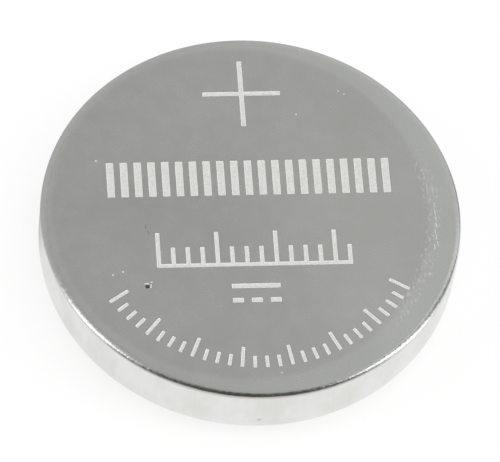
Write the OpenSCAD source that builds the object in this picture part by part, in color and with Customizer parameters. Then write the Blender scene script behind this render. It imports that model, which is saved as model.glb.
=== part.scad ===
// Lithium coin cell: a drawn steel can crimped over a gasket and a stepped cap.
// The cell rests on the cap's contact face, at z = 0, with the can's face on top.
// Every round piece is a section in the plane of radius and height, turned about the Z axis.

/* [Cell] */
// Overall diameter, across the wall of the can
cell_d = 24.5; // [18:0.1:30]
// Overall height, from one contact face to the other
cell_h = 5; // [4:0.1:8]

/* [Can] */
// Thickness of the can's sheet
can_t = 0.25; // [0.15:0.01:0.35]
// Inside radius of the corner between the can's face and its wall
can_corner_in = 0.05; // [0.02:0.01:0.25]
// Inside radius of the crimped mouth
crimp_in = 1.45; // [1.2:0.05:1.7]
// Angle that the crimped mouth turns through, in degrees
crimp_turn = 78; // [65:1:88]

/* [Gasket] */
// Thickness of the gasket where can and cap squeeze it
gasket_t = 0.35; // [0.25:0.01:0.45]
// Thickness of the lip that stands inside the cap's skirt
gasket_lip_t = 0.4; // [0.2:0.05:0.8]
// Height of that lip, measured from the middle of the skirt's fold
gasket_lip_h = 0.6; // [0.3:0.05:1]
// Angle by which the gasket shows past the can's cut edge, in degrees
gasket_show = 18; // [8:1:24]

/* [Cap] */
// Thickness of the cap's sheet
cap_t = 0.25; // [0.15:0.01:0.3]
// Inside radius of the bend at the edge of the contact face
cap_edge_in = 0.35; // [0.1:0.05:0.5]
// Height of the shoulder above the contact face
cap_shoulder_h = 1.05; // [0.9:0.05:1.3]
// Radius of the hollow corner between the raised face and the shoulder
cap_step_r = 0.2; // [0.05:0.05:0.3]
// Width of the flat ring of the shoulder
cap_shoulder_w = 0.55; // [0.4:0.05:1.5]
// Inside radius of the bend between the shoulder and the skirt
cap_shoulder_in = 0.35; // [0.2:0.05:0.5]
// Gap between the two layers of the folded skirt
hem_gap = 0.15; // [0.05:0.01:0.3]
// Height of the fold's cut edge above the start of the crimp
hem_stop = 0.12; // [0.05:0.01:0.6]

/* [Electrodes] */
// Height of the lithium disc above the inside of the cap's shoulder
lithium_proud = 0.3; // [0.1:0.05:0.8]
// Gap between the lithium disc and the bend round the cap's face
lithium_gap = 0.3; // [0.1:0.05:1]
// Thickness of the separator
separator_t = 0.25; // [0.1:0.01:0.4]
// Gap between the separator and the cap's skirt
separator_gap = 0.3; // [0.1:0.05:1]
// Gap between the cathode pellet and the gasket's lip
pellet_gap = 0.6; // [0.2:0.05:1.5]
// Height of the bevel round the pellet's edges
pellet_bevel = 0.15; // [0.05:0.05:0.4]

/* [Collector grid] */
// Thickness of the grid
grid_t = 0.15; // [0.08:0.01:0.25]
// Distance of the grid's edge inside the edge of the pellet
grid_inset = 2.5; // [1:0.1:4]
// Distance from one gap of the grid to the next
grid_pitch = 1.2; // [1.1:0.05:2]
// Width of the strands between the gaps
grid_strand = 0.35; // [0.2:0.05:0.6]

/* [Hidden] */
$fn = 96;

// Can: its radii and the middle of the crimp's curve
can_r = cell_d / 2;
cavity_r = can_r - can_t;
cavity_top = cell_h - can_t;
crimp_r = cavity_r - crimp_in;
crimp_z = cap_shoulder_h - gasket_t + crimp_in;
mouth_turn = crimp_turn + gasket_show;

// Cap: its skirt is two layers with the hem between them, inside the squeezed gasket
hem_out = cavity_r - gasket_t;
hem_r = hem_out - cap_t - hem_gap / 2;
hem_z = cavity_top - gasket_t - cap_t - hem_gap / 2;
hem_end = crimp_z + hem_stop;
skirt_out = hem_out - cap_t - hem_gap;
skirt_in = skirt_out - cap_t;
shoulder_bend = cap_shoulder_in + cap_t;
shoulder_r = skirt_out - shoulder_bend;
raised_r = shoulder_r - cap_shoulder_w - cap_step_r;
edge_bend = cap_edge_in + cap_t;
flat_r = raised_r - edge_bend;

// Gasket: the inner face of its lip
lip_r = skirt_in - gasket_lip_t;

// Electrode stack: the pellet takes the height that the other layers leave
lithium_r = flat_r - lithium_gap;
lithium_h = cap_shoulder_h + lithium_proud;
separator_z = cap_t + lithium_h;
separator_r = skirt_in - separator_gap;
pellet_r = lip_r - pellet_gap;
pellet_z = separator_z + separator_t;
grid_z = cavity_top - grid_t;
grid_r = pellet_r - grid_inset;

// Wedge with its point at the origin that covers a circle of radius r over the turn
module sector(r, from, turn) {
    steps = ceil(turn / 45);
    step = turn / steps;
    reach = 1.1 * r / cos(step / 2);
    polygon(concat(
        [[0, 0]],
        [for (i = [0 : steps]) reach * [cos(from + step * i), sin(from + step * i)]]
    ));
}

// Sheet of thickness t bent round the point [x, z], from one angle and through a turn
module bend(x, z, r_in, t, from, turn) {
    translate([x, z])
        intersection() {
            difference() {
                circle(r = r_in + t);
                circle(r = r_in);
            }
            sector(r_in + t, from, turn);
        }
}

// Rectangle of the section, from [x1, z1] to [x2, z2]
module strip(x1, z1, x2, z2) {
    translate([x1, z1])
        square([x2 - x1, z2 - z1]);
}

// Flat disc with its lower face at height z
module disc(r, h, z) {
    translate([0, 0, z])
        cylinder(r = r, h = h);
}

module can_section() {
    corner_out = can_corner_in + can_t;
    corner_r = can_r - corner_out;
    corner_z = cell_h - corner_out;
    strip(0, cavity_top, corner_r, cell_h);
    bend(corner_r, corner_z, can_corner_in, can_t, 0, 90);
    strip(cavity_r, crimp_z, can_r, corner_z);
    bend(crimp_r, crimp_z, crimp_in, can_t, -crimp_turn, crimp_turn);
}

// The space inside the can: its corner and its crimped mouth are the can's own curves
module cavity_section() {
    strip(0, crimp_z, cavity_r - can_corner_in, cavity_top);
    strip(0, crimp_z, cavity_r, cavity_top - can_corner_in);
    translate([cavity_r - can_corner_in, cavity_top - can_corner_in])
        circle(r = can_corner_in);
    translate([crimp_r, crimp_z])
        intersection() {
            circle(r = crimp_in);
            sector(crimp_in, -mouth_turn, mouth_turn);
        }
}

module cap_section() {
    strip(0, 0, flat_r, cap_t);
    bend(flat_r, edge_bend, cap_edge_in, cap_t, -90, 90);
    strip(raised_r - cap_t, edge_bend, raised_r, cap_shoulder_h - cap_step_r);
    bend(raised_r + cap_step_r, cap_shoulder_h - cap_step_r, cap_step_r, cap_t, 90, 90);
    strip(raised_r + cap_step_r, cap_shoulder_h, shoulder_r, cap_shoulder_h + cap_t);
    bend(shoulder_r, cap_shoulder_h + shoulder_bend, cap_shoulder_in, cap_t, -90, 90);
    strip(skirt_in, cap_shoulder_h + shoulder_bend, skirt_out, hem_z);
    bend(hem_r, hem_z, hem_gap / 2, cap_t, 0, 180);
    strip(hem_out - cap_t, hem_end, hem_out, hem_z);
}

// The outside of the cap's shoulder, skirt and hem, filled in
module cap_outline() {
    bend_z = cap_shoulder_h + shoulder_bend;
    strip(0, cap_shoulder_h, shoulder_r, bend_z);
    translate([shoulder_r, bend_z])
        circle(r = shoulder_bend);
    strip(skirt_in, bend_z, skirt_out, hem_z);
    strip(skirt_in, hem_end, hem_out, hem_z);
    translate([hem_r, hem_z])
        circle(r = cap_t + hem_gap / 2);
}

// The gasket fills what the can and the cap leave between them, and its lip ends inside the skirt
module gasket_section() {
    bend_z = cap_shoulder_h + shoulder_bend;
    difference() {
        cavity_section();
        cap_outline();
        strip(0, bend_z, lip_r, cell_h);
        strip(0, bend_z, skirt_in, hem_z - gasket_lip_h);
    }
}

module can() {
    color("#c9c9c6")
        rotate_extrude()
            can_section();
}

module gasket() {
    color("#33363a")
        rotate_extrude()
            gasket_section();
}

module cap() {
    color("#b9bbbb")
        rotate_extrude()
            cap_section();
}

module lithium_disc() {
    color("#a9abb3")
        disc(lithium_r, lithium_h, cap_t);
}

module separator() {
    color("#f1efe8")
        disc(separator_r, separator_t, separator_z);
}

// Pressed pellet, bevelled where the punches leave it
module cathode_pellet() {
    color("#2a2a2c")
        union() {
            disc(pellet_r, grid_z - pellet_z - 2 * pellet_bevel, pellet_z + pellet_bevel);
            translate([0, 0, pellet_z])
                cylinder(r1 = pellet_r - pellet_bevel, r2 = pellet_r, h = pellet_bevel);
            translate([0, 0, grid_z - pellet_bevel])
                cylinder(r1 = pellet_r, r2 = pellet_r - pellet_bevel, h = pellet_bevel);
        }
}

// Disc with a square lattice of gaps, all of which lie whole inside its rim
module collector_grid() {
    gap_w = grid_pitch - grid_strand;
    gaps_r = grid_r - grid_strand - gap_w * sqrt(2) / 2;
    rows = floor(gaps_r / grid_pitch);
    color("#8d9093")
        translate([0, 0, grid_z])
            linear_extrude(grid_t)
                difference() {
                    circle(r = grid_r);
                    for (i = [-rows : rows], j = [-rows : rows])
                        if (norm([i, j]) * grid_pitch <= gaps_r)
                            translate([i, j] * grid_pitch)
                                square(gap_w, center = true);
                }
}

can();
gasket();
cap();
lithium_disc();
separator();
cathode_pellet();
collector_grid();
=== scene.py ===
import math

import bmesh
import bpy
from mathutils import Matrix, Vector


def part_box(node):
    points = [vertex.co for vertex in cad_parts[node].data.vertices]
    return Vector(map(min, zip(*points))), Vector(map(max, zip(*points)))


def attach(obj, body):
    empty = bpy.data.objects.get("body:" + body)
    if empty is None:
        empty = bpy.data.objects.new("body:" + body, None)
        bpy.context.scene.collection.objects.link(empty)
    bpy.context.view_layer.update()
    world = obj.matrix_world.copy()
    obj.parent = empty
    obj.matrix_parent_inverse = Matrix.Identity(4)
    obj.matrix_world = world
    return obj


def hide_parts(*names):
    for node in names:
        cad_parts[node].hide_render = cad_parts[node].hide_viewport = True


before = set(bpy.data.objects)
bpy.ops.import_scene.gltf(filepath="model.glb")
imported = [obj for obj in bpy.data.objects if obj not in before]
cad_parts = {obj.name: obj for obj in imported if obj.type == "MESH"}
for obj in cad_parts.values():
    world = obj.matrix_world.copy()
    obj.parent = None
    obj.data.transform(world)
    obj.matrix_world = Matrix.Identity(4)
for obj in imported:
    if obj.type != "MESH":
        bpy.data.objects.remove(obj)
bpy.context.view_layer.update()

# A lithium coin cell lying on its cap: a spun can with etched marks, crimped over a gasket and a cap.
# Pieces are drawn in millimetres and made in metres, in the frame's place.
mm = 0.001


# Camera

cameraLook = {
    "lens": 360,  # a long lens, so there is little perspective
    "clipStart": 10 * mm,
    "azimuth": -10.4,
    "elevation": 58.205,
    "roll": 7.695,
    "distance": 290.086 * mm,  # from the middle of the can's face
    "slideRight": -0.0803 * mm,
    "slideUp": -1.0071 * mm,
}


def makeCamera(look):
    data = bpy.data.cameras.new("camera")
    data.lens = look["lens"]
    data.clip_start = look["clipStart"]
    camera = bpy.data.objects.new("camera", data)
    bpy.context.scene.collection.objects.link(camera)
    faceMiddle = Matrix.Translation((0, 0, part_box("can")[1].z))
    turn = Matrix.Rotation(math.radians(look["azimuth"]), 4, "Z")
    tip = Matrix.Rotation(math.radians(90 - look["elevation"]), 4, "X")
    roll = Matrix.Rotation(math.radians(look["roll"]), 4, "Z")
    pull = Matrix.Translation((look["slideRight"], look["slideUp"], look["distance"]))
    camera.matrix_world = faceMiddle @ turn @ tip @ roll @ pull
    bpy.context.scene.camera = camera


makeCamera(cameraLook)
print("camera placed")


# Small helpers for materials

noiseSpan = (0.3, 0.7)  # nearly all of a noise texture lies between these


def setInputs(tree, node, values):
    for key, value in values.items():
        if isinstance(value, bpy.types.NodeSocket):
            tree.links.new(value, node.inputs[key])
        else:
            node.inputs[key].default_value = value


def addNode(tree, kind, values=None, **settings):
    node = tree.nodes.new("ShaderNode" + kind)
    for key, value in settings.items():
        setattr(node, key, value)
    setInputs(tree, node, values or {})
    return node


def newFinish(name):
    finish = bpy.data.materials.new(name)
    finish.use_nodes = True
    return finish, finish.node_tree


def mathOf(tree, kind, *values):
    return addNode(tree, "Math", dict(enumerate(values)), operation=kind).outputs["Value"]


def productOf(tree, product, *factors):
    for factor in factors:
        product = mathOf(tree, "MULTIPLY", product, factor)
    return product


def measureOf(tree, kind, *vectors):
    # One number from vectors: a length, a distance or a dot product
    return addNode(tree, "VectorMath", dict(enumerate(vectors)), operation=kind).outputs["Value"]


def scaledBy(tree, vector, factor):
    scaled = addNode(tree, "VectorMath", {"Vector": vector, "Scale": factor}, operation="SCALE")
    return scaled.outputs["Vector"]


def inMillimetres(tree):
    return scaledBy(tree, addNode(tree, "TexCoord").outputs["Object"], 1 / mm)


def noiseAt(tree, place, stretch=(1, 1, 1), scale=1.0, detail=2.0, rough=0.5, shift=(0, 0, 0)):
    spot = addNode(tree, "Mapping", {"Vector": place, "Location": shift, "Scale": stretch})
    values = {"Vector": spot.outputs["Vector"], "Scale": scale, "Detail": detail, "Roughness": rough}
    return addNode(tree, "TexNoise", values).outputs["Fac"]


def grey(level):
    return level, level, level, 1


def rampOf(tree, factor, stops):
    ramp = addNode(tree, "ValToRGB", {"Fac": factor})
    while len(ramp.color_ramp.elements) < len(stops):
        ramp.color_ramp.elements.new(0.5)
    for element, (place, colour) in zip(ramp.color_ramp.elements, stops):
        element.position = place
        element.color = (*colour, 1) if isinstance(colour, tuple) else grey(colour)
    return ramp.outputs["Color"]


def shadesOf(tree, texture, dark, light, span=noiseSpan):
    return rampOf(tree, texture, list(zip(span, (dark, light))))


def rangeOf(tree, value, low, high, toLow=0.0, toHigh=1.0):
    values = {"Value": value, "From Min": low, "From Max": high, "To Min": toLow, "To Max": toHigh}
    return addNode(tree, "MapRange", values, interpolation_type="SMOOTHSTEP").outputs["Result"]


def spreadOf(tree, texture, toLow, toHigh):
    return rangeOf(tree, texture, *noiseSpan, toLow, toHigh)


def mixOf(tree, factor, first, second, blend="MIX"):
    # A Mix node's colours go in at sockets 6 and 7, and the result comes out at 2
    mix = addNode(tree, "Mix", {0: factor, 6: first, 7: second}, data_type="RGBA", blend_type=blend)
    return mix.outputs[2]


def tintedBy(tree, colour, tint):
    return mixOf(tree, 1.0, colour, tint, "MULTIPLY")


def bumpOf(tree, height, depth):
    return addNode(tree, "Bump", {"Height": height, "Distance": depth * mm}).outputs["Normal"]


def coat(tree, look, colour, texture, height):
    # The gloss follows the texture, and the height becomes a bump
    setInputs(tree, tree.nodes["Principled BSDF"], {
        "Base Color": colour,
        "Metallic": look["metallic"],
        "Roughness": spreadOf(tree, texture, *look["roughness"]),
        "Normal": bumpOf(tree, height, look["bump"]),
    })


# Finishes of the can: places and sizes on it are in millimetres

def awayFrom(tree, place, x, y, width, height):
    # Nought in the middle of an ellipse on the face, one on its edge
    squeeze = Vector((2 / width, 2 / height, 0))
    values = {"Vector": place, "Location": -squeeze * Vector((x, y, 0)), "Scale": squeeze}
    return measureOf(tree, "LENGTH", addNode(tree, "Mapping", values).outputs["Vector"])


def softSpot(tree, place, *ellipse):
    return rangeOf(tree, awayFrom(tree, place, *ellipse), 1, 0)


faceLook = {
    "dark": (0.681, 0.685, 0.652),
    "light": (0.708, 0.712, 0.686),
    "metallic": 1.0,
    "roughness": (0.23, 0.29),
    "bump": 0.0003,
    "level": 0.98,
    "mottlingChange": 0.08,
    # painted shade left of the middle and painted sheen right of it, where the face mirrors darker and
    # lighter light: x, y, width, height and change of level
    "paintedReflectionPatches": [(-5.0, 0.2, 18, 8, -0.055), (5.2, 0.8, 14, 15, 0.06), (6.6, -6.4, 12, 11, 0.07)],
    # the rim outside this ellipse is painted lighter and a little tinted, a painted sheen
    "rimEllipse": (-0.6, 0.20, 22.0, 22.5),
    "rimSheenRise": (0.975, 1.02),
    "rimSheenTint": (0.988, 1, 0.997),
    "rimSheenChange": 0.11,
    # near the same ellipse the right side was rubbed bright in flecks
    "rubbedRise": (0.96, 0.99),
    "rubbedFall": (1.08, 1.03),
    "rubbedSide": (9.6, -2.6, 7, 17),
    "sideRise": (0, 0.4),
    "fleckRise": (0.52, 0.64),
    "rubbedChange": 0.38,
}


def makeFaceSteel(look):
    finish, tree = newFinish("satinFaceSteel")
    place = inMillimetres(tree)
    clouds = noiseAt(tree, place, scale=0.22, detail=3)
    mottling = noiseAt(tree, place, scale=0.9, detail=4, rough=0.6)
    grain = noiseAt(tree, place, scale=6)
    flecks = noiseAt(tree, place, stretch=(9, 2.4, 1), detail=3, rough=0.7)
    edge = awayFrom(tree, place, *look["rimEllipse"])
    # painted sheen: the band outside the ellipse
    paintedRimSheen = rangeOf(tree, edge, *look["rimSheenRise"])
    rubbed = productOf(
        tree,
        rangeOf(tree, edge, *look["rubbedRise"]),
        rangeOf(tree, edge, *look["rubbedFall"]),
        rangeOf(tree, softSpot(tree, place, *look["rubbedSide"]), *look["sideRise"]),
        rangeOf(tree, flecks, *look["fleckRise"]),
    )
    level = mathOf(tree, "MULTIPLY_ADD", mottling, look["mottlingChange"], look["level"])
    # painted shade and painted sheen across the face
    for *ellipse, change in look["paintedReflectionPatches"]:
        level = mathOf(tree, "MULTIPLY_ADD", softSpot(tree, place, *ellipse), change, level)
    level = mathOf(tree, "MULTIPLY_ADD", paintedRimSheen, look["rimSheenChange"], level)
    level = mathOf(tree, "MULTIPLY_ADD", rubbed, look["rubbedChange"], level)
    colour = scaledBy(tree, shadesOf(tree, clouds, look["dark"], look["light"]), level)
    tint = shadesOf(tree, paintedRimSheen, (1, 1, 1), look["rimSheenTint"], span=(0, 1))
    coat(tree, look, tintedBy(tree, colour, tint), mottling, grain)
    return finish


cornerLook = {
    "dark": (0.738, 0.751, 0.722),
    "light": (0.792, 0.806, 0.782),
    "metallic": 1.0,
    "roughness": (0.14, 0.26),
    "bump": 0.012,
    "fineInBump": 0.7,
}


def makeCornerSteel(look):
    # Scuffed by the drawing die, so its highlight is ragged
    finish, tree = newFinish("scuffedCornerSteel")
    place = inMillimetres(tree)
    scuffs = noiseAt(tree, place, scale=3.2, detail=4, rough=0.65)
    fine = noiseAt(tree, place, scale=8, detail=3, rough=0.7)
    colour = shadesOf(tree, scuffs, look["dark"], look["light"])
    height = mathOf(tree, "MULTIPLY_ADD", fine, look["fineInBump"], scuffs)
    coat(tree, look, colour, scuffs, height)
    return finish


wallLook = {
    "dark": (0.780, 0.789, 0.752),
    "light": (0.850, 0.854, 0.835),
    "cloudSpan": (0.38, 0.58),
    "cloudShift": (3, 5, 1),
    "metallic": 1.0,
    "roughness": (0.16, 0.24),
    "bump": 0.0010,
    "wavesInBump": 8.0,
    "level": 0.945,
    "lineChange": 0.11,
    # one dark speck about half way up the wall, on the camera's side
    "speck": (-0.21, -12.25, 2.4),
    "speckEdge": (0.06, 0.20),
    "speckLevel": 0.80,
}


def makeWallSteel(look):
    finish, tree = newFinish("drawnWallSteel")
    place = inMillimetres(tree)
    shift = look["cloudShift"]
    clouds = noiseAt(tree, place, stretch=(1, 1, 0.6), scale=0.42, detail=4, rough=0.6, shift=shift)
    drawLines = noiseAt(tree, place, stretch=(5, 5, 0.12), detail=3, rough=0.6)
    waves = noiseAt(tree, place, scale=0.45, detail=1)
    level = mathOf(tree, "MULTIPLY_ADD", drawLines, look["lineChange"], look["level"])
    off = measureOf(tree, "DISTANCE", place, look["speck"])
    level = productOf(tree, level, rangeOf(tree, off, *look["speckEdge"], look["speckLevel"], 1.0))
    colour = shadesOf(tree, clouds, look["dark"], look["light"], look["cloudSpan"])
    height = mathOf(tree, "MULTIPLY_ADD", waves, look["wavesInBump"], drawLines)
    coat(tree, look, scaledBy(tree, colour, level), drawLines, height)
    return finish


# An etched mark has a frosted floor, a grey outline that is painted shade, and a slope painted brighter, a
# painted highlight
etchedLooks = {
    # painted shade along the edge of each mark
    "paintedShadeOutline": {
        "dark": (0.32, 0.32, 0.31), "light": (0.40, 0.40, 0.39), "metallic": 1.0, "roughness": 0.35,
    },
    # painted highlight on the slopes; the bright nicks and the burr use it too
    "paintedHighlightAndFlaws": {
        "dark": (0.91, 0.915, 0.885), "light": (1.0, 1.0, 0.975), "metallic": 0.1, "roughness": 0.6,
    },
    "etchedFloor": {
        "dark": (0.76, 0.765, 0.735), "light": (0.93, 0.935, 0.905), "metallic": 0.2, "roughness": 0.6,
    },
    "pitDark": {
        "dark": (0.035, 0.03, 0.018), "light": (0.13, 0.11, 0.08), "metallic": 0.1, "roughness": 0.6,
    },
    "scratchedSteel": {
        "dark": (0.88, 0.885, 0.86), "light": (1.0, 1.0, 0.975), "metallic": 0.5, "roughness": 0.45,
    },
}
frostSpan = (0.35, 0.65)
frostBump = 0.008


def makeEtched(name, look):
    finish, tree = newFinish(name)
    frost = noiseAt(tree, inMillimetres(tree), scale=9, detail=4, rough=0.7)
    setInputs(tree, tree.nodes["Principled BSDF"], {
        "Base Color": shadesOf(tree, frost, look["dark"], look["light"], frostSpan),
        "Metallic": look["metallic"],
        "Roughness": look["roughness"],
        "Normal": bumpOf(tree, frost, frostBump),
    })
    return finish


canFinishes = [makeFaceSteel(faceLook), makeCornerSteel(cornerLook), makeWallSteel(wallLook)]
canFinishes += [makeEtched(name, look) for name, look in etchedLooks.items()]
slotOf = {finish.name: i for i, finish in enumerate(canFinishes)}
print("steel finishes made")


# A pen for sections in the plane of radius and height, and the spin that turns them into pieces

weldDistance = 0.0001 * mm
ringTolerance = 0.002 * mm
sharpAngle = 32  # edges that bend more than this many degrees are sharp


def onlyKind(geom, kind):
    return [item for item in geom if isinstance(item, kind)]


def lineTo(bm, tip, r, z):
    end = bmesh.ops.extrude_vert_indiv(bm, verts=[tip])["verts"][0]
    end.co = (r * mm, 0, z * mm)
    return end


def arcTo(bm, tip, r, z, turn, steps):
    # Turns about the point (r, z); a positive turn goes from up to outwards to down
    made = bmesh.ops.spin(
        bm, geom=[tip], cent=(r * mm, 0, z * mm), axis=(0, 1, 0), angle=math.radians(turn), steps=steps
    )
    return onlyKind(made["geom_last"], bmesh.types.BMVert)[0]


def drawSection(bm, start, steps):
    # A step is a straight line to (r, z), or an arc about (r, z) with its turn and its number of segments
    tip = bmesh.ops.create_vert(bm, co=(start[0] * mm, 0, start[1] * mm))["vert"][0]
    for step in steps:
        tip = lineTo(bm, tip, *step) if len(step) == 2 else arcTo(bm, tip, *step)


def spinRound(bm, steps):
    bmesh.ops.remove_doubles(bm, verts=bm.verts, dist=weldDistance)
    section = bm.verts[:] + bm.edges[:]
    bmesh.ops.spin(
        bm, geom=section, cent=(0, 0, 0), axis=(0, 0, 1), angle=math.tau, steps=steps, use_merge=True
    )
    bmesh.ops.remove_doubles(bm, verts=bm.verts, dist=weldDistance)
    bmesh.ops.recalc_face_normals(bm, faces=bm.faces)


def softenRing(bm, r, z, width):
    # Breaks the sharp corner that runs round the piece at this radius and height
    def onRing(vert):
        return abs(vert.co.xy.length - r * mm) < ringTolerance and abs(vert.co.z - z * mm) < ringTolerance

    ring = [edge for edge in bm.edges if onRing(edge.verts[0]) and onRing(edge.verts[1])]
    bmesh.ops.bevel(
        bm, geom=ring, offset=width * mm, offset_type="OFFSET", segments=3, profile=0.5,
        affect="EDGES", material=-1, clamp_overlap=True
    )


def makePiece(bm, name, finishes):
    for face in bm.faces:
        face.smooth = True
    mesh = bpy.data.meshes.new(name)
    bm.to_mesh(mesh)
    bm.free()
    for finish in finishes:
        mesh.materials.append(finish)
    mesh.set_sharp_from_angle(angle=math.radians(sharpAngle))
    piece = bpy.data.objects.new(name, mesh)
    bpy.context.scene.collection.objects.link(piece)
    return piece


# Can

canLow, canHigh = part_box("can")
can = {
    "wallR": canHigh.x / mm,
    "faceZ": canHigh.z / mm,
    "mouthZ": canLow.z / mm,
    "sheet": 0.25,
    "crownR": 60.0,  # the face rolls off a little before its corner
    "crownTurn": 1.9,
    "edgeR": 0.6,  # the corner starts slowly and is tightest where it runs into the wall
    "edgeTurn": 30,
    "cornerR": 0.28,
    "innerBevel": 0.07,
    "crimpIn": 1.45,
    "crimpTurn": 78,
    "edgeBreak": 0.03,
    "spinSteps": 288,
    "flatCosine": 0.999998,  # faces as level as this become one
    "faceMargin": 1,  # the face's finish ends this many degrees past the roll-off
    "wallTilt": 75,  # the wall's finish starts at this tilt
}


def pointAt(r, z, radius, turn):
    # The point of a circle about (r, z) that is turned from straight up towards outwards
    return r + radius * math.sin(math.radians(turn)), z + radius * math.cos(math.radians(turn))


def steelAt(size, tilt):
    # The finish goes by how far a face tilts from level
    if tilt < size["crownTurn"] + size["faceMargin"]:
        return "satinFaceSteel"
    return "scuffedCornerSteel" if tilt < size["wallTilt"] else "drawnWallSteel"


def makeCan(size):
    bm = bmesh.new()
    # Each arc runs on into the next, so the middles of both lie in line with the point where they meet
    crown, corner = size["crownTurn"], size["crownTurn"] + size["edgeTurn"]
    crownZ = size["faceZ"] - size["crownR"]
    crownReach, edgeZ = pointAt(0, crownZ, size["crownR"] - size["edgeR"], crown)
    edgeReach, cornerZ = pointAt(0, edgeZ, size["edgeR"] - size["cornerR"], corner)
    cornerX = size["wallR"] - size["cornerR"]
    edgeX = cornerX - edgeReach
    flatX = edgeX - crownReach
    crimpOut = size["crimpIn"] + size["sheet"]
    crimpX = size["wallR"] - crimpOut
    crimpZ = size["mouthZ"] + crimpOut * math.sin(math.radians(size["crimpTurn"]))
    cutX, cutZ = pointAt(crimpX, crimpZ, size["crimpIn"], 90 + size["crimpTurn"])
    rimX, rimZ = pointAt(crimpX, crimpZ, crimpOut, 90 + size["crimpTurn"])
    innerX = size["wallR"] - size["sheet"]
    innerZ = size["faceZ"] - size["sheet"]

    drawSection(bm, (0, size["faceZ"]), [
        (flatX, size["faceZ"]),
        (flatX, crownZ, crown, 6),
        (edgeX, edgeZ, size["edgeTurn"], 9),
        (cornerX, cornerZ, 90 - corner, 11),
        (size["wallR"], crimpZ),
        (crimpX, crimpZ, size["crimpTurn"], 22),
        (cutX, cutZ),
        (crimpX, crimpZ, -size["crimpTurn"], 22),
        (innerX, innerZ - size["innerBevel"]),
        (innerX - size["innerBevel"], innerZ),
        (0, innerZ),
    ])
    spinRound(bm, size["spinSteps"])
    softenRing(bm, cutX, cutZ, size["edgeBreak"])
    softenRing(bm, rimX, rimZ, size["edgeBreak"])

    flat = [face for face in bm.faces if face.normal.z > size["flatCosine"]]
    bmesh.ops.dissolve_faces(bm, faces=flat)
    for face in bm.faces:
        tilt = math.degrees(face.normal.angle(Vector((0, 0, 1))))
        face.material_index = slotOf[steelAt(size, tilt)]
    return makePiece(bm, "canCup", canFinishes)


canCup = makeCan(can)
print("can spun:", len(canCup.data.polygons), "faces")


# Marks on the face: flat outlines that one cutter sinks into the steel

etching = {
    "clearance": 0.02,
    "ledgeDepth": 0.005,
    "ledgeWidth": 0.014,
    "slopeDepth": 0.03,
    "slopeWidth": 0.05,
    "cornerRound": 0.05,
    "sharpAngle": 25,  # for the can once the marks are cut
}
plusMark = {"x": -0.04, "y": 8.3, "width": 4.64, "height": 4.58, "stroke": 0.32}
barRow = {"y": 2.47, "width": 16.6, "height": 2.4, "stroke": 0.47, "count": 21}
scaleMark = {
    "x": 0.0,
    "low": -3.55,
    "width": 11.4,
    "ticks": 14,
    "pitch": 3,
    "short": 1.1,
    "tall": 2.1,
    "tallEvery": 4,
}
currentMark = {"x": -0.04, "y": -5.33, "width": 2.86, "stroke": 0.34, "apart": 0.95, "dashes": 3, "gap": 0.42}
dialMark = {
    "from": -146,
    "to": -31,
    "ticks": 29,
    "stroke": 0.24,
    "outer": 10.3,
    "short": 9.5,
    "tall": 8.95,
    "tallEvery": 4,
}


def shapeAt(x, y, width, height, turn):
    place = Matrix.Translation((x * mm, y * mm, 0)) @ Matrix.Rotation(math.radians(turn), 4, "Z")
    return place @ Matrix.Diagonal((width * mm, height * mm, 1, 1))


def patch(bm, x, y, width, height, turn=0, steps=1):
    # A size of a half makes a grid that is one unit across
    shape = shapeAt(x, y, width, height, turn)
    return bmesh.ops.create_grid(bm, x_segments=steps, y_segments=1, size=0.5, matrix=shape)["verts"]


def chip(bm, x, y, long, short, sides, turn=0):
    # A small polygon, whose two sizes are half its length and half its width
    shape = shapeAt(x, y, long, short, turn)
    return bmesh.ops.create_circle(bm, cap_ends=True, segments=sides, radius=1, matrix=shape)["verts"]


def sidesOf(corners):
    return list(dict.fromkeys(edge for corner in corners for edge in corner.link_edges))


def drawArm(bm, side, away):
    grown = bmesh.ops.extrude_edge_only(bm, edges=[side])["geom"]
    bmesh.ops.translate(bm, verts=onlyKind(grown, bmesh.types.BMVert), vec=away * mm)


def makePlus(bm, size):
    # A square middle with an arm drawn out of each of its sides
    middle = patch(bm, size["x"], size["y"], size["stroke"], size["stroke"])
    centre = Vector((size["x"] * mm, size["y"] * mm, 0))
    for side in sidesOf(middle):
        away = ((side.verts[0].co + side.verts[1].co) / 2 - centre).normalized()
        reach = size["width"] if abs(away.x) > abs(away.y) else size["height"]
        drawArm(bm, side, away * (reach - size["stroke"]) / 2)


def makeBars(bm, size):
    pitch = (size["width"] - size["stroke"]) / (size["count"] - 1)
    for i in range(size["count"]):
        x = (i - (size["count"] - 1) / 2) * pitch
        patch(bm, x, size["y"], size["stroke"], size["height"])


def makeScale(bm, size):
    # A base line in narrow steps, with ticks drawn up from those that are a pitch apart
    steps = size["pitch"] * (size["ticks"] - 1) + 1
    stroke = size["width"] / steps
    middle = size["low"] + stroke / 2
    sides = sidesOf(patch(bm, size["x"], middle, size["width"], stroke, steps=steps))
    tops = [side for side in sides if min(corner.co.y for corner in side.verts) > middle * mm]
    tops.sort(key=lambda side: side.verts[0].co.x + side.verts[1].co.x)
    for i, side in enumerate(tops[::size["pitch"]]):
        reach = size["tall"] if i % size["tallEvery"] == 0 else size["short"]
        drawArm(bm, side, Vector((0, reach, 0)))


def makeCurrentSign(bm, size):
    patch(bm, size["x"], size["y"] + size["apart"] / 2, size["width"], size["stroke"])
    dash = (size["width"] - (size["dashes"] - 1) * size["gap"]) / size["dashes"]
    for i in range(size["dashes"]):
        x = size["x"] + (i - (size["dashes"] - 1) / 2) * (dash + size["gap"])
        patch(bm, x, size["y"] - size["apart"] / 2, dash, size["stroke"])


def makeDial(bm, size):
    for i in range(size["ticks"]):
        turn = size["from"] + (size["to"] - size["from"]) * i / (size["ticks"] - 1)
        inner = size["tall"] if i % size["tallEvery"] == 0 else size["short"]
        middle = (inner + size["outer"]) / 2
        x, y = middle * math.cos(math.radians(turn)), middle * math.sin(math.radians(turn))
        patch(bm, x, y, size["outer"] - inner, size["stroke"], turn)


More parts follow.
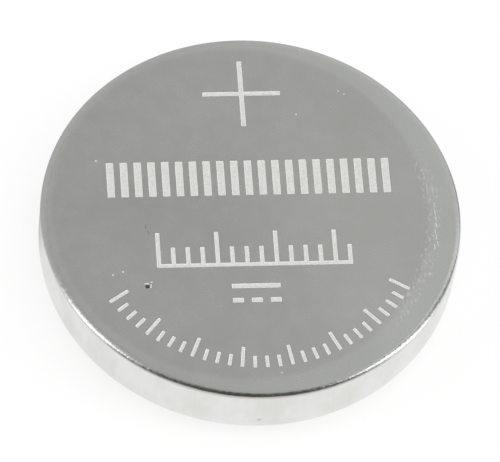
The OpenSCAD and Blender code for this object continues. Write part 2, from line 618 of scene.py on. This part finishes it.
def sinkOutlines(bm, depth):
    # Lifts the outlines just clear of the face and draws them down into it; gives the cutter's low faces
    clearance = etching["clearance"]
    bmesh.ops.translate(bm, verts=bm.verts, vec=(0, 0, (can["faceZ"] + clearance) * mm))
    sunk = bmesh.ops.extrude_face_region(bm, geom=bm.faces[:])["geom"]
    low = onlyKind(sunk, bmesh.types.BMVert)
    bmesh.ops.translate(bm, verts=low, vec=(0, 0, -(clearance + depth) * mm))
    bmesh.ops.recalc_face_normals(bm, faces=bm.faces)
    return onlyKind(sunk, bmesh.types.BMFace)


def paint(faces, finish):
    for face in faces:
        face.material_index = slotOf[finish]


def makeMarkCutter(size):
    bm = bmesh.new()
    makePlus(bm, plusMark)
    makeBars(bm, barRow)
    makeScale(bm, scaleMark)
    makeCurrentSign(bm, currentMark)
    makeDial(bm, dialMark)
    corners = [vert for vert in bm.verts if len(vert.link_edges) == 2]
    bmesh.ops.bevel(
        bm, geom=corners, offset=size["cornerRound"] * mm, offset_type="OFFSET", segments=2, profile=0.5,
        affect="VERTICES", material=-1
    )
    floor = sinkOutlines(bm, size["ledgeDepth"])
    # painted shade: a grey ledge round each mark
    paint(bm.faces, "paintedShadeOutline")
    bmesh.ops.inset_region(
        bm, faces=floor, thickness=size["ledgeWidth"] * mm, use_boundary=True, use_even_offset=True
    )
    slope = bmesh.ops.inset_region(
        bm, faces=floor, thickness=size["slopeWidth"] * mm, depth=size["slopeDepth"] * mm,
        use_boundary=True, use_even_offset=True
    )["faces"]
    # painted highlight: the slope is lighter than the floor
    paint(slope, "paintedHighlightAndFlaws")
    paint(floor, "etchedFloor")
    return makePiece(bm, "markCutter", canFinishes)


# Flaws: bright nicks and scratches, and one dark pit with a bright burr round it. A nick is x, y and
# radius, and a line is x and y of both its ends. They stay clear of each other, as one cutter sinks them.
flaws = {
    "depth": 0.012,
    "nicks": [
        (-8.84, 3.81, 0.06), (5.70, 8.37, 0.04), (6.04, 8.15, 0.04), (3.10, 6.79, 0.05),
        (-8.25, -3.95, 0.045), (-7.67, -3.76, 0.06), (1.03, -10.65, 0.04), (11.1, 3.3, 0.05),
        (10.7, 2.9, 0.04), (10.2, 4.9, 0.05),
    ],
    "nickSides": 6,
    "pit": {"x": -6.31, "y": -4.78, "long": 0.155, "short": 0.14, "sides": 5, "turn": 20},
    "burr": {
        "finish": "paintedHighlightAndFlaws",
        "width": 0.06,
        "lines": [(-6.46, -4.585, -6.20, -4.58), (-6.13, -4.50, -6.00, -4.47), (-6.09, -4.64, -6.12, -4.86)],
    },
    "scratches": {
        "finish": "scratchedSteel",
        "width": 0.04,
        "lines": [
            (10.72, 0.50, 10.75, 0.16), (10.70, 0.08, 10.75, -0.36), (10.76, -0.44, 10.75, -0.80),
            (10.73, -0.88, 10.76, -1.20), (10.62, -1.30, 10.68, -2.02), (10.70, -2.12, 10.76, -2.72),
            (11.06, 1.12, 11.20, 1.22), (11.08, -0.15, 11.18, -0.42), (10.50, -2.30, 10.54, -2.66),
            (10.05, -4.20, 10.20, -4.80), (9.35, -5.60, 9.50, -6.00),
        ],
    },
    "stains": {
        "finish": "pitDark",
        "width": 0.02,
        "lines": [(-6.21, -0.66, -6.19, -0.90), (-6.12, -1.02, -6.01, -1.26)],
    },
}


def facesAt(corners):
    return {face for corner in corners for face in corner.link_faces}


def makeFlawCutter(size):
    bm = bmesh.new()
    for x, y, radius in size["nicks"]:
        paint(facesAt(chip(bm, x, y, radius, radius, size["nickSides"])), "paintedHighlightAndFlaws")
    paint(facesAt(chip(bm, **size["pit"])), "pitDark")
    for kind in ("burr", "scratches", "stains"):
        for x1, y1, x2, y2 in size[kind]["lines"]:
            length = math.hypot(x2 - x1, y2 - y1)
            turn = math.degrees(math.atan2(y2 - y1, x2 - x1))
            line = patch(bm, (x1 + x2) / 2, (y1 + y2) / 2, length, size[kind]["width"], turn)
            paint(facesAt(line), size[kind]["finish"])
    sinkOutlines(bm, size["depth"])
    return makePiece(bm, "flawCutter", canFinishes)


def cutOut(piece, cutter):
    cut = piece.modifiers.new("marks", "BOOLEAN")
    cut.operation = "DIFFERENCE"
    cut.solver = "EXACT"
    cut.object = cutter
    bpy.context.view_layer.objects.active = piece
    bpy.ops.object.modifier_apply(modifier=cut.name)
    bpy.data.objects.remove(cutter)
    piece.data.set_sharp_from_angle(angle=math.radians(etching["sharpAngle"]))


cutOut(canCup, makeMarkCutter(etching))
cutOut(canCup, makeFlawCutter(flaws))
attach(canCup, "root")
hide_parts("can")
print("marks cut:", len(canCup.data.polygons), "faces")


# Cap: a stepped cup whose skirt is folded back on itself

capLook = {
    "dark": (0.66, 0.665, 0.655),
    "light": (0.73, 0.735, 0.725),
    "metallic": 1.0,
    "roughness": (0.19, 0.31),
    "bump": 0.002,
    "grainInBump": 0.5,
}


def roundAbout(tree, place):
    # Radius and height of a point, so that a texture runs in rings
    parts = addNode(tree, "SeparateXYZ", {"Vector": place}).outputs
    flat = addNode(tree, "CombineXYZ", {"X": parts["X"], "Y": parts["Y"]}).outputs["Vector"]
    radius = measureOf(tree, "LENGTH", flat)
    return addNode(tree, "CombineXYZ", {"X": radius, "Y": parts["Z"]}).outputs["Vector"]


def makeCapSteel(look):
    finish, tree = newFinish("turnedCapSteel")
    place = inMillimetres(tree)
    clouds = noiseAt(tree, place, scale=0.3, detail=3)
    rings = noiseAt(tree, roundAbout(tree, place), scale=9, detail=3, rough=0.6)
    grain = noiseAt(tree, place, scale=14)
    colour = shadesOf(tree, clouds, look["dark"], look["light"])
    height = mathOf(tree, "MULTIPLY_ADD", grain, look["grainInBump"], rings)
    coat(tree, look, colour, rings, height)
    return finish


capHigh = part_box("cap")[1]
cap = {
    "hemR": capHigh.x / mm,
    "foldZ": capHigh.z / mm,
    "sheet": 0.25,
    "hemGap": 0.15,
    "hemEndZ": 2.27,
    "bendR": 0.35,  # inside of the bend at the shoulder, and at the edge of the contact face
    "shoulderZ": 1.05,
    "shoulderWidth": 0.55,
    "stepR": 0.2,
    "spinSteps": 256,
}


def skirtPlaces(size):
    # The middle of the skirt's fold, the radius of its outside and the middle of the shoulder's bend
    foldOut = size["sheet"] + size["hemGap"] / 2
    outer = size["bendR"] + size["sheet"]
    foldX, foldZ = size["hemR"] - foldOut, size["foldZ"] - foldOut
    skirtOut = size["hemR"] - size["sheet"] - size["hemGap"]
    return foldX, foldZ, skirtOut, skirtOut - outer, size["shoulderZ"] + outer


def makeCap(size):
    bm = bmesh.new()
    foldX, foldZ, skirtOut, bendX, bendZ = skirtPlaces(size)
    sheet, outer = size["sheet"], size["bendR"] + size["sheet"]
    hemIn = size["hemR"] - sheet
    stepX, stepZ = bendX - size["shoulderWidth"], size["shoulderZ"] - size["stepR"]
    raisedR = stepX - size["stepR"]
    edgeX = raisedR - outer
    drawSection(bm, (0, 0), [
        (edgeX, 0),
        (edgeX, outer, -90, 14),
        (raisedR, stepZ),
        (stepX, stepZ, 90, 10),
        (bendX, size["shoulderZ"]),
        (bendX, bendZ, -90, 14),
        (skirtOut, foldZ),
        (foldX, foldZ, 180, 10),
        (hemIn, size["hemEndZ"]),
        (size["hemR"], size["hemEndZ"]),
        (size["hemR"], foldZ),
        (foldX, foldZ, -180, 24),
        (skirtOut - sheet, bendZ),
        (bendX, bendZ, 90, 10),
        (stepX, size["shoulderZ"] + sheet),
        (stepX, stepZ, -90, 12),
        (raisedR - sheet, outer),
        (edgeX, outer, 90, 10),
        (0, sheet),
    ])
    spinRound(bm, size["spinSteps"])
    return makePiece(bm, "capCup", [makeCapSteel(capLook)])


capCup = makeCap(cap)
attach(capCup, "root")
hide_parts("cap")
print("cap spun:", len(capCup.data.polygons), "faces")


# Gasket: it fills what can and cap leave between them, and shows as a ring inside the crimped mouth

gasketLook = {
    "dark": (0.028, 0.031, 0.036),
    "light": (0.040, 0.044, 0.050),
    "metallic": 0.0,
    "roughness": (0.36, 0.50),
    "bump": 0.010,
}


def makeGasketPlastic(look):
    finish, tree = newFinish("gasketPlastic")
    place = inMillimetres(tree)
    clouds = noiseAt(tree, place, scale=0.8, detail=3)
    grain = noiseAt(tree, place, scale=7, detail=3, rough=0.6)
    coat(tree, look, shadesOf(tree, clouds, look["dark"], look["light"]), grain, grain)
    return finish


gasketLow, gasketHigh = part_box("gasket")
gasket = {
    "wallR": gasketHigh.x / mm,
    "topZ": gasketHigh.z / mm,
    "lowZ": gasketLow.z / mm,
    "cornerR": 0.05,
    "mouthTurn": 96,
    "lip": 0.4,
    "lipHeight": 0.6,
    "endRound": 0.04,
    "spinSteps": 256,
}


def makeGasket(size, capSize):
    bm = bmesh.new()
    foldX, foldZ, skirtOut, bendX, bendZ = skirtPlaces(capSize)
    hemR, hemEndZ, shoulderZ = capSize["hemR"], capSize["hemEndZ"], capSize["shoulderZ"]
    mouthR = can["crimpIn"]
    mouthX, mouthZ = size["wallR"] - mouthR, size["lowZ"] + mouthR
    endX, endZ = pointAt(mouthX, mouthZ, mouthR, 90 + size["mouthTurn"])
    restX = mouthX - (mouthZ - shoulderZ) * math.tan(math.radians(size["mouthTurn"] - 90))
    skirtIn = skirtOut - capSize["sheet"]
    lipR, lipZ = skirtIn - size["lip"], foldZ - size["lipHeight"]
    cornerX, cornerZ = size["wallR"] - size["cornerR"], size["topZ"] - size["cornerR"]
    drawSection(bm, (endX, endZ), [
        (restX, shoulderZ),
        (bendX, shoulderZ),
        (bendX, bendZ, -90, 14),
        (skirtOut, hemEndZ),
        (hemR, hemEndZ),
        (hemR, foldZ),
        (foldX, foldZ, -180, 24),
        (skirtIn, lipZ),
        (lipR, lipZ),
        (lipR, size["topZ"]),
        (cornerX, size["topZ"]),
        (cornerX, cornerZ, 90, 5),
        (size["wallR"], mouthZ),
        (mouthX, mouthZ, size["mouthTurn"], 24),
    ])
    spinRound(bm, size["spinSteps"])
    softenRing(bm, endX, endZ, size["endRound"])
    return makePiece(bm, "gasketRing", [makeGasketPlastic(gasketLook)])


gasketRing = makeGasket(gasket, cap)
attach(gasketRing, "root")
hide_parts("gasket")
print("gasket spun:", len(gasketRing.data.polygons), "faces")


# The closed-in pieces keep their solids and get the finish of what they are made of

innerLooks = {
    "lithium_disc": {
        "dark": (0.40, 0.40, 0.43), "light": (0.56, 0.56, 0.59), "metallic": 1.0,
        "roughness": (0.60, 0.42), "scale": 0.9, "stretch": (1, 1, 1), "bump": 0.010,
    },
    "separator": {
        "dark": (0.74, 0.73, 0.68), "light": (0.86, 0.85, 0.81), "metallic": 0.0,
        "roughness": (0.90, 0.75), "scale": 5.0, "stretch": (1, 7, 1), "bump": 0.020,
    },
    "cathode_pellet": {
        "dark": (0.012, 0.012, 0.013), "light": (0.030, 0.030, 0.032), "metallic": 0.0,
        "roughness": (0.92, 0.70), "scale": 8.0, "stretch": (1, 1, 1), "bump": 0.025,
    },
    "collector_grid": {
        "dark": (0.46, 0.46, 0.47), "light": (0.60, 0.60, 0.60), "metallic": 1.0,
        "roughness": (0.40, 0.26), "scale": 6.0, "stretch": (1, 1, 3), "bump": 0.004,
    },
}


def dressNode(name, look):
    finish, tree = newFinish(name + "Finish")
    texture = noiseAt(
        tree, inMillimetres(tree), stretch=look["stretch"], scale=look["scale"], detail=4, rough=0.6
    )
    coat(tree, look, shadesOf(tree, texture, look["dark"], look["light"]), texture, texture)
    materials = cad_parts[name].data.materials
    materials.clear()
    materials.append(finish)


for name, look in innerLooks.items():
    dressNode(name, look)
print("inner pieces dressed")


# Stage: a white floor, a light tent with cards that the steel mirrors, softboxes and a white surround

def emptyFinish(name):
    finish, tree = newFinish(name)
    tree.nodes.clear()
    return finish, tree


def closeFinish(tree, surface):
    addNode(tree, "OutputMaterial", {"Surface": surface})


def makeGlow(tree, colour):
    closeFinish(tree, addNode(tree, "Emission", {"Color": colour}).outputs["Emission"])


def showsToLens(tree):
    # One where the camera, a mirror or glass looks at the surface, so that it shows white there
    path = addNode(tree, "LightPath").outputs
    seen = mathOf(tree, "MAXIMUM", path["Is Camera Ray"], path["Is Glossy Ray"])
    return mathOf(tree, "MAXIMUM", seen, path["Is Transmission Ray"])


def direction(azimuth, elevation):
    # Azimuth nought points along -Y and grows towards +X
    turn = Matrix.Rotation(math.radians(azimuth), 3, "Z") @ Matrix.Rotation(math.radians(-elevation), 3, "X")
    return turn @ Vector((0, -1, 0))


def turnAround(tree, place):
    # Share of a full turn about the upright axis: a half towards the camera, more to its right
    ahead = measureOf(tree, "DOT_PRODUCT", place, direction(cameraLook["azimuth"], 0))
    right = measureOf(tree, "DOT_PRODUCT", place, direction(cameraLook["azimuth"] + 90, 0))
    turn = mathOf(tree, "DIVIDE", mathOf(tree, "ARCTAN2", right, ahead), math.tau)
    return mathOf(tree, "ADD", turn, 0.5)


# The floor's white is its glow and what its matt part takes from the lamps, so it keeps the shadow.
# What the steel sees of it is darker in the lamps' shadows behind the object, and far away.
floorLook = {
    "halfSize": 2.0,
    "drop": 0.02 * mm,  # keeps it just clear of the cap
    "matt": 0.25,
    "glow": 0.79,
    "plain": 0.8,  # its colour for the light that bounces off it
    "byTurn": [
        (0.0, 0.62), (0.10, 0.62), (0.12, 0.50), (0.235, 0.56), (0.275, 0.96),
        (0.80, 0.99), (0.825, 0.52), (0.847, 0.20), (0.87, 0.52), (1.0, 0.60),
    ],
    "nearTo": 8 * mm,
    "farFrom": 60 * mm,
    "nearLevel": 0.95,
    "farLevel": 0.80,
}


def makeFloor(look):
    finish, tree = emptyFinish("whiteFloor")
    matt = addNode(tree, "BsdfDiffuse", {"Color": grey(look["matt"])}).outputs["BSDF"]
    glow = addNode(tree, "Emission", {"Strength": look["glow"]}).outputs["Emission"]
    bright = addNode(tree, "AddShader", {0: matt, 1: glow}).outputs["Shader"]
    place = addNode(tree, "TexCoord").outputs["Object"]
    far = measureOf(tree, "LENGTH", place)
    level = rangeOf(tree, far, look["nearTo"], look["farFrom"], look["nearLevel"], look["farLevel"])
    level = productOf(tree, level, rampOf(tree, turnAround(tree, place), look["byTurn"]))
    mirrored = addNode(tree, "LightPath").outputs["Is Glossy Ray"]
    shadow = productOf(tree, mirrored, mathOf(tree, "SUBTRACT", 1.0, level))
    black = addNode(tree, "Emission", {"Strength": 0.0}).outputs["Emission"]
    bright = addNode(tree, "MixShader", {0: shadow, 1: bright, 2: black}).outputs["Shader"]
    plain = addNode(tree, "BsdfDiffuse", {"Color": grey(look["plain"])}).outputs["BSDF"]
    mixed = addNode(tree, "MixShader", {0: showsToLens(tree), 1: plain, 2: bright}).outputs["Shader"]
    closeFinish(tree, mixed)
    bm = bmesh.new()
    below = Matrix.Translation((0, 0, -look["drop"]))
    bmesh.ops.create_grid(bm, x_segments=1, y_segments=1, size=look["halfSize"], matrix=below)
    floor = makePiece(bm, "floor", [finish])


tent = {
    "radius": 1.2,
    "foot": -0.01,
    "segments": 64,
    "rings": 32,
    # its light goes by the cosine of the angle to this direction, and by the share from left to right
    "shadeAzimuth": -3.4,
    "shadeElevation": 60,
    "byCosine": [(0.0, 0.50), (0.36, 0.48), (0.444, 0.43), (1.0, 0.42)],
    "bySide": [
        (0.0, 1.0), (0.35, 0.98), (0.46, 0.94), (0.5, 1.0),
        (0.516, 1.085), (0.535, 1.2), (0.6, 1.15), (1.0, 1.1),
    ],
    # it is open to a dark room on the camera's side, by shares of a full turn and of the tent's height
    "roomColour": (0.075, 0.065, 0.046),
    "openByTurn": [(0.325, 0.0), (0.35, 1.0), (0.68, 1.0), (0.70, 0.0)],
    "openByHeight": [(0.30, 0.0), (0.56, 1.0), (0.985, 1.0), (1.0, 0.6)],
}


def hideFromCamera(piece):
    # It casts no shadow either
    piece.visible_camera = False
    piece.visible_shadow = False


def makeTent(size):
    finish, tree = emptyFinish("tentCloth")
    place = addNode(tree, "TexCoord").outputs["Object"]
    spot = scaledBy(tree, place, 1 / size["radius"])
    cosine = measureOf(tree, "DOT_PRODUCT", spot, direction(size["shadeAzimuth"], size["shadeElevation"]))
    across = measureOf(tree, "DOT_PRODUCT", spot, direction(cameraLook["azimuth"] + 90, 0))
    height = measureOf(tree, "DOT_PRODUCT", spot, (0, 0, 1))
    side = mathOf(tree, "MULTIPLY_ADD", across, 0.5, 0.5)  # from nought at the left to one at the right
    glow = tintedBy(tree, rampOf(tree, cosine, size["byCosine"]), rampOf(tree, side, size["bySide"]))
    openTurn = rampOf(tree, turnAround(tree, place), size["openByTurn"])
    opening = tintedBy(tree, openTurn, rampOf(tree, height, size["openByHeight"]))
    makeGlow(tree, mixOf(tree, opening, glow, (*size["roomColour"], 1)))
    bm = bmesh.new()
    bmesh.ops.create_uvsphere(
        bm, u_segments=size["segments"], v_segments=size["rings"], radius=size["radius"]
    )
    bmesh.ops.bisect_plane(
        bm, geom=bm.verts[:] + bm.edges[:] + bm.faces[:], plane_co=(0, 0, size["foot"]), plane_no=(0, 0, -1),
        clear_outer=True
    )
    cloth = makePiece(bm, "lightTent", [finish])
    hideFromCamera(cloth)


# Cards between tent and object; azimuths are counted from the camera's side, as for the softboxes
cards = {
    "front": {
        "azimuth": 5, "elevation": 19, "distance": 1.0, "width": 1.5, "height": 0.70, "glow": 0.80,
        "topGlow": 0.46,
    },
    "dark": {
        "azimuth": 107, "elevation": 32, "distance": 1.0, "width": 0.27, "height": 1.6, "glow": 0.2,
        "lean": 8,
    },
    "narrow": {
        "azimuth": 123, "elevation": 38, "distance": 1.0, "width": 0.20, "height": 1.15, "glow": 0.8,
    },
    "upper": {
        "azimuth": -74, "elevation": 67, "distance": 1.0, "width": 0.26, "height": 0.26, "glow": 0.66,
    },
}
cardWeave = (0.96, 1.04)


def placeAround(piece, look):
    turn = Matrix.Rotation(math.radians(cameraLook["azimuth"] + look["azimuth"]), 4, "Z")
    tip = Matrix.Rotation(math.radians(90 - look["elevation"]), 4, "X")
    lean = Matrix.Rotation(math.radians(look.get("lean", 0)), 4, "Z")
    piece.matrix_world = turn @ tip @ Matrix.Translation((0, 0, look["distance"])) @ lean


def makeCard(name, look):
    finish, tree = emptyFinish(name)
    place = addNode(tree, "TexCoord").outputs["Object"]
    weave = spreadOf(tree, noiseAt(tree, place, scale=3), *cardWeave)
    up = addNode(tree, "SeparateXYZ", {"Vector": place}).outputs["Y"]
    half = look["height"] / 2
    fade = addNode(tree, "MapRange", {
        "Value": up, "From Min": -half, "From Max": half,
        "To Min": look["glow"], "To Max": look.get("topGlow", look["glow"]),
    }).outputs["Result"]
    makeGlow(tree, productOf(tree, weave, fade))
    bm = bmesh.new()
    shape = Matrix.Diagonal((look["width"], look["height"], 1, 1))
    bmesh.ops.create_grid(bm, x_segments=1, y_segments=1, size=0.5, matrix=shape)
    card = makePiece(bm, name, [finish])
    placeAround(card, look)
    hideFromCamera(card)


# Lamps; the steel mirrors the two at the sides
softboxes = {
    "left": {
        "azimuth": -70, "elevation": 34, "distance": 0.9, "width": 0.32, "height": 0.82, "watts": 1.16,
        "lean": -4,
    },
    "right": {
        "azimuth": 84.5, "elevation": 29, "distance": 0.9, "width": 0.26, "height": 1.1, "watts": 1.33,
        "lean": 7,
    },
    "top": {
        "azimuth": 40, "elevation": 75, "distance": 1.0, "width": 0.8, "height": 0.8, "watts": 4.4,
        "mirrored": False,
    },
}


def makeSoftbox(name, look):
    data = bpy.data.lights.new(name, "AREA")
    data.shape = "RECTANGLE"
    data.size = look["width"]
    data.size_y = look["height"]
    data.energy = look["watts"]
    lamp = bpy.data.objects.new(name, data)
    bpy.context.scene.collection.objects.link(lamp)
    placeAround(lamp, look)
    lamp.visible_glossy = look.get("mirrored", True)


surround = {"strength": 0.5, "shownStrength": 1.0}  # weak as a light, white where it is looked at


def makeWorld(look):
    world = bpy.data.worlds.new("whiteRoom")
    world.use_nodes = True
    tree = world.node_tree
    tree.nodes.clear()
    strength = rangeOf(tree, showsToLens(tree), 0, 1, look["strength"], look["shownStrength"])
    white = addNode(tree, "Background", {"Color": grey(1), "Strength": strength}).outputs["Background"]
    addNode(tree, "OutputWorld", {"Surface": white})
    bpy.context.scene.world = world


makeFloor(floorLook)
makeTent(tent)
for name, look in cards.items():
    makeCard(name + "Card", look)
for name, look in softboxes.items():
    makeSoftbox(name + "Softbox", look)
makeWorld(surround)
bpy.context.scene.view_settings.view_transform = "Standard"
print("stage set")
